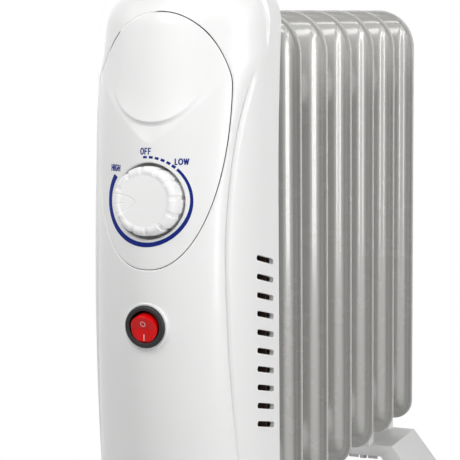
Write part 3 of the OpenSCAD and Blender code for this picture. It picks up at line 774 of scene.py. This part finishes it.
RING_WIDTH = [(148, 2.95), (180, 2.5), (215, 2.7), (240, 2.65), (270, 2.5), (330, 2.0),
              (360, 1.55), (402, 1.45)]
DASH_WIDTH = [(45, 1.5), (98, 1.25)]
RING_FROM, RING_TO = 147, 407
DASHES, DASH_FIRST, DASH_PITCH, DASH_HALF = 6, 52.6, 8.2, 2.7
STROKE_OVERRUN, STROKE_STEP = 0.35, 0.5


def strokes(lines, x, z, width, height, weight):
    """Letter strokes as flat bars, each a list of points in a box one wide and one high."""
    parts = []
    for line in lines:
        points = [Vector((x + px * width, z + pz * height)) for px, pz in line]
        for a, b in zip(points, points[1:]):
            along = (b - a).normalized()
            side = Vector((-along.y, along.x)) * weight / 2
            first = a - along * weight * STROKE_OVERRUN
            last = b + along * weight * STROKE_OVERRUN
            count = max(2, int((last - first).length / STROKE_STEP) + 2)

            def point(i, j, first=first, last=last, side=side, count=count):
                p = first + (last - first) * i / (count - 1) + side * (2 * j - 1)
                return on_panel(p.x, p.y)

            parts.append(sheet(count, 2, point))
    return parts


ROUND_O = [(0.5 + 0.5 * math.cos(a * math.tau / 20), 0.5 + 0.5 * math.sin(a * math.tau / 20))
           for a in range(21)]
LETTERS = {
    "O": [ROUND_O],
    "F": [[(0, 0), (0, 1)], [(0, 1), (0.95, 1)], [(0, 0.52), (0.8, 0.52)]],
    "L": [[(0, 1), (0, 0)], [(0, 0), (0.9, 0)]],
    "W": [[(0, 1), (0.25, 0), (0.5, 0.95), (0.75, 0), (1, 1)]],
    "H": [[(0, 0), (0, 1)], [(1, 0), (1, 1)], [(0, 0.5), (1, 0.5)]],
    "I": [[(0, 0), (0, 1)]],
    "G": [[(0.95, 0.82), (0.75, 0.97), (0.5, 1), (0.2, 0.9), (0, 0.5), (0.2, 0.1), (0.5, 0),
           (0.8, 0.06), (0.97, 0.2), (0.97, 0.48)], [(0.97, 0.48), (0.6, 0.48)]],
}


def word(letters, x, z, height, widths, gap, weight):
    parts = []
    for letter, width in zip(letters, widths):
        parts += strokes(LETTERS[letter], x, z, width, height, weight)
        x += width + gap
    return parts


def dial():
    """The ring that thins as it goes round, the dashes after it, and the three words."""
    parts = [band(RING_FROM, RING_TO, lambda a: table(RING_WIDTH, a), 180)]
    for i in range(DASHES):
        middle = DASH_FIRST + i * DASH_PITCH
        parts.append(band(middle - DASH_HALF, middle + DASH_HALF,
                          lambda a: table(DASH_WIDTH, a), 6))
    parts += word("OFF", -4.75, KNOB_Z + 24.55, 3.05, (1.65, 1.2, 1.2), 0.85, 0.62)
    parts += word("LOW", 14.6, KNOB_Z + 19.45, 2.8, (1.1, 1.9, 2.2), 0.7, 0.68)
    parts += word("HIGH", -24.1, KNOB_Z + 15.1, 3.05, (1.2, 0.01, 1.5, 1.2), 0.72, 0.68)
    return joined(parts)


place(to_object(dial(), "dial_print"), "heater", PRINT)


# ---------------------------------------------------------------- knob

KNOB_H, KNOB_R, KNOB_DRAFT, RIM_R, DISH = 14.3, 18.7, 0.3, 3, 0.4
RIM_IN = KNOB_R - KNOB_DRAFT - RIM_R
FLUTES, FLUTE_HALF, FLUTE_DEPTH, FLUTE_END_R = 12, 1.4, 0.6, 14.1
POINTER_TURN = math.radians(7)
TONGUE_TIP, TONGUE_SPREAD, TONGUE_SUNK = 5.3, 1.65, 0.1
LINE_DEPTH, LINE_HALF = 0.22, 0.4
POINTER_FROM, POINTER_TO = 11.5, 16.6
SKIRT_Z, SIDE_Z, KNOB_STEPS = 0.8, 1.1, 504
FACE_ZONE, RIM_ZONE = 1.2, 17
HOLLOW_R, HOLLOW_TOP, HUB_OUT_R, HUB_Z, SPINDLE_R, SPINDLE_TOP = 16.5, 11.8, 6.4, 4.4, 3.05, 12.1


def knob_profile():
    """Outline of the knob from the middle of its face, round its skirt and up inside it."""
    side_top = KNOB_H - RIM_R
    outer = [(KNOB_R - 0.3, SKIRT_Z), (KNOB_R, SIDE_Z)]
    outer += [(KNOB_R - KNOB_DRAFT * i / 20, SIDE_Z + (side_top - SIDE_Z) * i / 20)
              for i in range(1, 20)]
    outer += arc((RIM_IN, side_top), RIM_R, 0, 90, 18)
    outer += [(RIM_IN - 2 * i / 8, KNOB_H - DISH * smooth(i / 8)) for i in range(1, 9)]
    outer += [(r / 10, KNOB_H - DISH) for r in range(131, 44, -3)]
    outer += [(3, KNOB_H - DISH), (0, KNOB_H - DISH)]
    inner = [(HOLLOW_R, SKIRT_Z), (HOLLOW_R, HOLLOW_TOP), (HUB_OUT_R, HOLLOW_TOP),
             (HUB_OUT_R, HUB_Z), (SPINDLE_R, HUB_Z), (SPINDLE_R, SPINDLE_TOP), (0, SPINDLE_TOP)]
    return outer[::-1] + inner


def line_mark(off):
    """Depth of a thin engraved line at a distance from its middle."""
    return LINE_DEPTH * math.exp(-(off / (LINE_HALF * 0.6)) ** 2)


def flute_depth(angle, radius, height):
    """Depth of the scallops round the rim, which leave out the one at the pointer."""
    turned = angle - POINTER_TURN
    step = math.tau / FLUTES
    if math.cos(turned) < -math.cos(step / 2):
        return 0
    if height < KNOB_H - RIM_R:
        run = RIM_IN - FLUTE_END_R + RIM_R * math.pi / 2 + KNOB_H - RIM_R - height
    elif radius > RIM_IN:
        run = RIM_IN - FLUTE_END_R + RIM_R * math.atan2(radius - RIM_IN, height - KNOB_H + RIM_R)
    else:
        run = radius - FLUTE_END_R
    across = radius * math.sin((turned + step / 2) % step - step / 2)
    away = math.hypot(across, min(0, run - FLUTE_HALF)) / FLUTE_HALF
    return FLUTE_DEPTH * (1 - smooth((away - 0.62) / 0.38)) * (0.4 + 0.6 * smooth(run / 4))


def tongue_depth(x, y):
    """The tongue is a little sunk, with an engraved outline and a pointer line in its middle."""
    along = -(x * math.cos(POINTER_TURN) + y * math.sin(POINTER_TURN))
    across = y * math.cos(POINTER_TURN) - x * math.sin(POINTER_TURN)
    inside = along - TONGUE_TIP - (across / TONGUE_SPREAD) ** 2
    inside /= math.hypot(1, 2 * across / TONGUE_SPREAD ** 2)
    depth = TONGUE_SUNK * smooth(inside / 0.5 + 0.5) + line_mark(inside)
    if along > POINTER_FROM - 1:
        depth += line_mark(math.hypot(across, min(0, along - POINTER_FROM)))
    return depth * (1 - smooth((along - POINTER_TO) / 0.8))


def knob():
    bm = spun(knob_profile(), KNOB_STEPS)
    bm.normal_update()
    moves = []
    for v in bm.verts:
        x, y, height = v.co
        radius = math.hypot(x, y)
        if height > KNOB_H - FACE_ZONE or radius > RIM_ZONE:
            depth = flute_depth(math.atan2(y, x), radius, height)
            if height > KNOB_H - FACE_ZONE:
                depth += tongue_depth(x, y)
            moves.append((v, v.normal * depth))
    for v, move in moves:
        v.co -= move
    bmesh.ops.transform(bm, matrix=WELL_FRAME, verts=bm.verts)
    return bm


place(to_object(knob(), "knob_cap", 40), "knob", SATIN, ["control_knob"])


# ---------------------------------------------------------------- switch

SOCKET_R, BEZEL_R, PIVOT_Z = 8.6, 11.5, -1.9


def switch_housing():
    """The bezel's rounded ring, with the socket inside it and the body behind."""
    profile = [(SOCKET_R, -11), (SOCKET_R, 1.3)] + arc((SOCKET_R + 0.5, 1.3), 0.5, 180, 100, 4)
    profile += [(9.6, 1.98), (10.1, 2.0)] + arc((10.1, 0.6), 1.4, 85, 8, 10) + [(BEZEL_R, 0.02)]
    profile += [(9.9, 0.02), (9.9, -13), (0, -13), (0, -11)]
    bm = spun(profile, 128)
    bmesh.ops.transform(bm, matrix=SWITCH_FRAME, verts=bm.verts)
    return bm


ROCKER_R, ROCKER_TILT, ROCKER_END_R = 7.6, 12, 8.8
ROCKER_MIDDLE, ROCKER_FOOT, ROCKER_STEPS = 3.95, -3.4, 120
END_FALL, END_FROM, END_RUN = 0.5, 6.2, 1.7
RIM_FALL, RIM_FROM, RIM_RUN = 0.35, 0.88, 0.12
SIDE_DROP, SIDE_CLEAR = 0.9, 0.4
ROCKER_RINGS = [0.02, 0.12, 0.25, 0.4, 0.55, 0.7, 0.8, 0.88, 0.94, 0.975, 1.0]
PIN_R, PIN_END = 1.0, 9.2


def rocker_height(y):
    """Height of the face over the pivot: two wings meet in a shallow V, with soft ends."""
    wing = ROCKER_MIDDLE + abs(y) * math.tan(math.radians(ROCKER_TILT))
    return wing - END_FALL * smooth((abs(y) - END_FROM) / END_RUN)


def rocker():
    """A round button: its face is a fan of rings, and its side drops into the socket."""
    def point(i, j):
        share = ROCKER_RINGS[min(j, len(ROCKER_RINGS) - 1)]
        a = math.tau * i / ROCKER_STEPS
        x, y = ROCKER_R * share * math.sin(a), ROCKER_R * share * math.cos(a)
        limit = math.sqrt(ROCKER_END_R ** 2 - y * y)
        if j < len(ROCKER_RINGS):
            height = rocker_height(y) - RIM_FALL * smooth((share - RIM_FROM) / RIM_RUN)
            return Vector((x, y, min(height, limit)))
        if j == len(ROCKER_RINGS):
            return Vector((x, y, min(rocker_height(y) - SIDE_DROP, limit - SIDE_CLEAR)))
        if j == len(ROCKER_RINGS) + 1:
            return Vector((x, y, ROCKER_FOOT))
        return Vector((0, 0, ROCKER_FOOT))

    bm = sheet(ROCKER_STEPS + 1, len(ROCKER_RINGS) + 3, point)
    tidy(bm)
    parts = [bm]
    for side in (-1, 1):
        pin = spun([(0, 0), (PIN_R, 0), (PIN_R, PIN_END), (0, PIN_END)], 24)
        turn = Matrix.Rotation(math.radians(90 * side), 4, "Y")
        bmesh.ops.transform(pin, matrix=turn, verts=pin.verts)
        parts.append(pin)
    return joined(parts)


ROCKER_FRAME = (SWITCH_FRAME @ Matrix.Translation((0, 0, PIVOT_Z))
                @ Matrix.Rotation(math.radians(ROCKER_TILT), 4, "X"))


MARK_LIFT = 0.05
MARK_RING_R, MARK_WEIGHT, MARK_RING_Y, MARK_SQUEEZE = 1.2, 0.32, 2.9, 0.95
BAR_HALF_W, BAR_W, BAR_LOW, BAR_L = 0.19, 0.38, -6.3, 3.4


def rocker_marks():
    """The generic off and on marks: a ring on the upper wing and a bar on the lower one."""
    def lifted(x, y):
        return Vector((x, y, rocker_height(y) + MARK_LIFT))

    def ring_point(i, j):
        a = math.tau * i / 40
        r = MARK_RING_R + MARK_WEIGHT * j
        return lifted(r * math.cos(a) * MARK_SQUEEZE, MARK_RING_Y + r * math.sin(a))

    def bar_point(i, j):
        return lifted(-BAR_HALF_W + BAR_W * j, BAR_LOW + BAR_L * i / 6)

    bm = joined([sheet(41, 2, ring_point), sheet(7, 2, bar_point)])
    tidy(bm, 0.001)
    for face in bm.faces:
        if face.normal.z < 0:
            face.normal_flip()
    bmesh.ops.transform(bm, matrix=ROCKER_FRAME, verts=bm.verts)
    return bm


place(to_object(switch_housing(), "switch_bezel", 40), "heater", BLACK,
      ["switch_body"])
button = rocker()
bmesh.ops.transform(button, matrix=ROCKER_FRAME, verts=button.verts)
place(to_object(button, "rocker_button", 28), "rocker", RED, ["switch_rocker"])
place(to_object(rocker_marks(), "rocker_marks"), "rocker", MARK)


# ---------------------------------------------------------------- fins

FIRST_FIN, FIN_PITCH, FIN_COUNT = 71.4, 45.5, 7
FIN_HALF, FIN_LOW = 45.6, 70
FIN_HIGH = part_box("fin_2")[1].z / MM
FIN_TOP_R, FIN_BOTTOM_R = 26, 14
FLANGE_T, CHANNEL_T, CHANNEL_CROWN, CHANNEL_ROLL = 0.8, 5.8, 0.0125, 5.6
CHANNELS = [(-27.6, 13.6), (0, 12.5), (27.6, 13.6)]
HEADERS = (FIN_LOW + 30, FIN_HIGH - 46)
HEADER_HALF_H, HEADER_T, HEADER_HALF_W = 16, 7.5, 38.7
HUB_R, HUB_T = 14, 9
SEAM = [(0, 0), (0.1, 0.6), (0.35, 1.0), (0.8, 1.25), (1.3, 1.2), (1.9, 1.05), (2.6, 0.87),
        (3.1, 0.8)]
SEAM_W = SEAM[-1][0]
CHANNEL_END, CHANNEL_END_RUN = 9, 14
HEADER_SIDE_RUN, HUB_RUN, BLEND_POWER = 9, 3.2, 5
FIN_DOUBLES, COLUMN_GAP = 0.002, 0.02
FIN_COLUMNS = [0.0, 2, 4, 5.5, 6.8, 7.7, 8.5, 9.3, 10.1, 10.9, 11.7, 12.5, 13.2, 14, 14.8, 15.6,
               16.4, 17.2, 18, 18.8, 19.6, 21, 23.4, 25.4, 27.5, 29.5, 31.2, 32.6, 33.6, 34.4,
               35.1, 35.7, 36.3, 36.9, 37.4, 37.9, 38.4, 38.9, 39.4, 40, 40.6, 41.2]


def channel(off, half):
    """Half thickness of a pressed oil channel: a shallow dome with rolled sides."""
    dome = CHANNEL_T - FLANGE_T - CHANNEL_CROWN * off * off
    rolled = smooth((abs(off) - half + CHANNEL_ROLL) / CHANNEL_ROLL)
    return FLANGE_T + max(0, dome) * (1 - rolled)


def bulge(off, half, rise):
    """Height of a shallow arc over its chord."""
    if abs(off) >= half:
        return 0
    radius = (half * half + rise * rise) / (2 * rise)
    return math.sqrt(radius * radius - off * off) - (radius - rise)


def corner_radius(z):
    return FIN_TOP_R if z > (FIN_LOW + FIN_HIGH) / 2 else FIN_BOTTOM_R


def fin_half_width(z):
    """Half width of the fin's outline at a height, round its corners."""
    radius = corner_radius(z)
    over = max(z - (FIN_HIGH - radius), FIN_LOW + radius - z, 0)
    return FIN_HALF - radius + math.sqrt(max(0, radius * radius - over * over))


def fin_edge(x, z):
    """Distance from the fin's outline, inwards."""
    radius = corner_radius(z)
    out_x = abs(x) - (FIN_HALF - radius)
    out_z = max(z - (FIN_HIGH - radius), FIN_LOW + radius - z)
    if out_x > 0 and out_z > 0:
        return radius - math.hypot(out_x, out_z)
    return radius - max(out_x, out_z)


def blend_up(parts):
    """The greatest of the parts, with soft passages between them."""
    return sum(p ** BLEND_POWER for p in parts if p > 0) ** (1 / BLEND_POWER)


def fin_thickness(x, z):
    """Half thickness of the pressed fin: flange, seam, channels, headers and hubs."""
    flat = table(SEAM, fin_edge(x, z))
    if flat <= 0:
        return 0
    inside = min(z - FIN_LOW - CHANNEL_END, FIN_HIGH - CHANNEL_END - z)
    ends = min(1, max(0, inside / CHANNEL_END_RUN))
    ends = math.sqrt(max(0, 1 - (1 - ends) ** 2))
    parts = [FLANGE_T]
    for middle, half in CHANNELS:
        parts.append(FLANGE_T + (channel(x - middle, half) - FLANGE_T) * ends)
    for header in HEADERS:
        side = smooth((HEADER_HALF_W - abs(x)) / HEADER_SIDE_RUN)
        parts.append(bulge(z - header, HEADER_HALF_H, HEADER_T) * side)
        reach = math.hypot(x, z - header)
        parts.append(HUB_T * (1 - smooth((reach - HUB_R) / HUB_RUN)))
    thick = min(blend_up(parts), HUB_T)
    return min(thick, flat) if fin_edge(x, z) / SEAM_W < 1 else thick


def fin_rows():
    """Heights of the fin's rows, closest in the corners, the seams and the headers."""
    ends = [d for d, _ in SEAM]
    rows = [FIN_LOW + d for d in ends]
    rows += [FIN_LOW + d for d in (4, 5.5, 7, 8.5, 10, 11.5, 13, 14.2)]
    rows += [HEADERS[0] - 15 + 1.5 * i for i in range(1, 22)]
    span = HEADERS[1] - HEADERS[0] - 34
    rows += [HEADERS[0] + 17 + span * i / 20 for i in range(21)]
    rows += [HEADERS[1] - 17 + 1.5 * i for i in range(1, 23)]
    rows += [FIN_HIGH - d for d in (27, 25, 23, 21, 19, 17, 15, 13, 11, 9.5, 8, 6.5, 5, 4)]
    rows += [FIN_HIGH - d for d in reversed(ends)]
    return sorted(set(round(z, 3) for z in rows))


def fin(number):
    """One fin: two pressed sheets joined round their seam."""
    middle = FRONT_Y + FIRST_FIN + (number - 1) * FIN_PITCH
    half = [(c, False) for c in FIN_COLUMNS[1:]] + [(d, True) for d, _ in reversed(SEAM)]
    columns = [(-1, c) for c in reversed(half)] + [(1, (0.0, False))] + [(1, c) for c in half]
    rows = fin_rows()

    def face(direction):
        def point(i, j):
            sign, (c, from_edge) = columns[i]
            z = rows[j]
            w = fin_half_width(z)
            x = w - c if from_edge else min(c, w - SEAM_W - COLUMN_GAP)
            return Vector((sign * x, middle + direction * fin_thickness(x, z), z))
        return sheet(len(columns), len(rows), point)

    bm = joined([face(-1), face(1)])
    tidy(bm, FIN_DOUBLES)
    return bm


for number in range(1, FIN_COUNT + 1):
    place(to_object(fin(number), f"pressed_fin_{number}", 60), "heater", PAINT,
          [f"fin_{number}"])


# ---------------------------------------------------------------- feet

FOOT_EDGE_R, FOOT_SHARP, FOOT_SHORTEST, FOOT_SEGMENTS = 1.2, 25, 4, 3


def softened(node):
    """A copy of a CAD node with its edges rounded."""
    bm = bmesh.new()
    bm.from_mesh(NODES[node].data)
    bmesh.ops.scale(bm, vec=(1 / MM,) * 3, verts=bm.verts)
    bmesh.ops.remove_doubles(bm, verts=bm.verts, dist=0.001)
    bmesh.ops.dissolve_limit(bm, angle_limit=math.radians(1), verts=bm.verts, edges=bm.edges)
    edges = [e for e in bm.edges if len(e.link_faces) == 2
             and e.calc_face_angle(0) > math.radians(FOOT_SHARP)
             and e.calc_length() > FOOT_SHORTEST]
    bmesh.ops.bevel(bm, geom=edges, offset=FOOT_EDGE_R, offset_type="OFFSET",
                    segments=FOOT_SEGMENTS, profile=0.5, affect="EDGES", clamp_overlap=True,
                    material=-1)
    return bm


for node in ("front_foot", "rear_foot"):
    place(to_object(softened(node), f"{node}_moulding", 30), "heater", WHITE,
          [node])


# ---------------------------------------------------------------- floor, light and camera

FLOOR_TONE, FLOOR_ROUGHNESS, FLOOR_SIZE = 0.72, 0.7, 6
FADE_FROM, FADE_TO = 0.12, 0.34
STUDIO_LEVEL, WHITE_LEVEL = 0.12, 1.0


def combined(nodes, links, operation, first, second):
    node = nodes.new("ShaderNodeMath")
    node.operation = operation
    links.new(first, node.inputs[0])
    links.new(second, node.inputs[1])
    return node.outputs[0]


def seen_directly(nodes, links):
    """1 for what the camera sees, in glossy reflections and through glass too, otherwise 0."""
    path = nodes.new("ShaderNodeLightPath").outputs
    seen = combined(nodes, links, "MAXIMUM", path["Is Camera Ray"], path["Is Glossy Ray"])
    return combined(nodes, links, "MAXIMUM", seen, path["Is Transmission Ray"])


def stage_material():
    """Pale floor that keeps the shadow near the heater and runs out into plain white."""
    made = bpy.data.materials.new("floor_white")
    made.use_nodes = True
    nodes, links = made.node_tree.nodes, made.node_tree.links
    shader = nodes["Principled BSDF"]
    shader.inputs["Base Color"].default_value = (FLOOR_TONE, FLOOR_TONE, FLOOR_TONE, 1)
    shader.inputs["Roughness"].default_value = FLOOR_ROUGHNESS
    light = nodes.new("ShaderNodeEmission")
    light.inputs["Strength"].default_value = WHITE_LEVEL
    coords = nodes.new("ShaderNodeTexCoord")
    length = nodes.new("ShaderNodeVectorMath")
    length.operation = "LENGTH"
    links.new(coords.outputs["Object"], length.inputs[0])
    fade = nodes.new("ShaderNodeMapRange")
    fade.interpolation_type = "SMOOTHSTEP"
    fade.inputs["From Min"].default_value = FADE_FROM
    fade.inputs["From Max"].default_value = FADE_TO
    links.new(length.outputs["Value"], fade.inputs["Value"])
    share = combined(nodes, links, "MULTIPLY", seen_directly(nodes, links),
                     fade.outputs["Result"])
    mix = nodes.new("ShaderNodeMixShader")
    links.new(share, mix.inputs["Fac"])
    links.new(shader.outputs["BSDF"], mix.inputs[1])
    links.new(light.outputs["Emission"], mix.inputs[2])
    links.new(mix.outputs["Shader"], nodes["Material Output"].inputs["Surface"])
    return made


floor_mesh = bmesh.new()
bmesh.ops.create_grid(floor_mesh, x_segments=2, y_segments=2, size=FLOOR_SIZE)
mesh = bpy.data.meshes.new("floor")
floor_mesh.to_mesh(mesh)
floor_mesh.free()
floor = bpy.data.objects.new("floor", mesh)
bpy.context.scene.collection.objects.link(floor)
mesh.materials.append(stage_material())

world = bpy.data.worlds.new("studio")
bpy.context.scene.world = world
world.use_nodes = True
nodes, links = world.node_tree.nodes, world.node_tree.links
background = nodes["Background"]
strength = nodes.new("ShaderNodeMapRange")
strength.inputs["To Min"].default_value = STUDIO_LEVEL
strength.inputs["To Max"].default_value = WHITE_LEVEL
links.new(seen_directly(nodes, links), strength.inputs["Value"])
links.new(strength.outputs["Result"], background.inputs["Strength"])
background.inputs["Color"].default_value = (1, 1, 1, 1)


def lamp(name, place_at, look_at, size, power):
    """A soft rectangular lamp, aimed from one point at another."""
    data = bpy.data.lights.new(name, "AREA")
    data.shape, data.size, data.size_y = "RECTANGLE", size[0], size[1]
    data.energy = power
    made = bpy.data.objects.new(name, data)
    made.location = place_at
    aim = Vector(look_at) - Vector(place_at)
    made.rotation_euler = aim.to_track_quat("-Z", "Y").to_euler()
    bpy.context.scene.collection.objects.link(made)


lamp("front", (-0.06, -0.66, 0.88), (0, -0.18, 0.44), (0.5, 0.4), 4.1)
lamp("right_side", (1.25, -0.42, 0.46), (0, 0, 0.27), (0.22, 0.9), 8)
lamp("right_top", (0.8, -0.4, 0.95), (0, -0.1, 0.34), (0.4, 0.4), 1.4)
lamp("left_top", (-0.9, -0.6, 0.95), (0, -0.1, 0.3), (0.5, 0.5), 2.2)
lamp("back_left", (-1.2, 0.75, 0.8), (0, 0.05, 0.25), (0.5, 0.9), 8)

YAW, PITCH, ROLL = math.radians(22.508), math.radians(-7.084), math.radians(-0.478)
FOCAL_WIDTHS, SENSOR = 1700 / 460, 36
CAMERA_X, CAMERA_BEFORE, CAMERA_Z = 381.70, 803.41, 355.11
forward = Vector((-math.sin(YAW) * math.cos(PITCH), math.cos(YAW) * math.cos(PITCH),
                  math.sin(PITCH)))
right = Vector((math.cos(YAW), math.sin(YAW), 0))
up = right.cross(forward)
right, up = (math.cos(ROLL) * right + math.sin(ROLL) * up,
             -math.sin(ROLL) * right + math.cos(ROLL) * up)
camera_data = bpy.data.cameras.new("camera")
camera_data.sensor_width = SENSOR
camera_data.lens = SENSOR * FOCAL_WIDTHS
camera = bpy.data.objects.new("camera", camera_data)
camera.matrix_world = Matrix((
    (right.x, up.x, -forward.x, CAMERA_X * MM),
    (right.y, up.y, -forward.y, (FRONT_Y - CAMERA_BEFORE) * MM),
    (right.z, up.z, -forward.z, CAMERA_Z * MM),
    (0, 0, 0, 1)))
bpy.context.scene.collection.objects.link(camera)
bpy.context.scene.camera = camera
bpy.context.scene.view_settings.view_transform = "Standard"
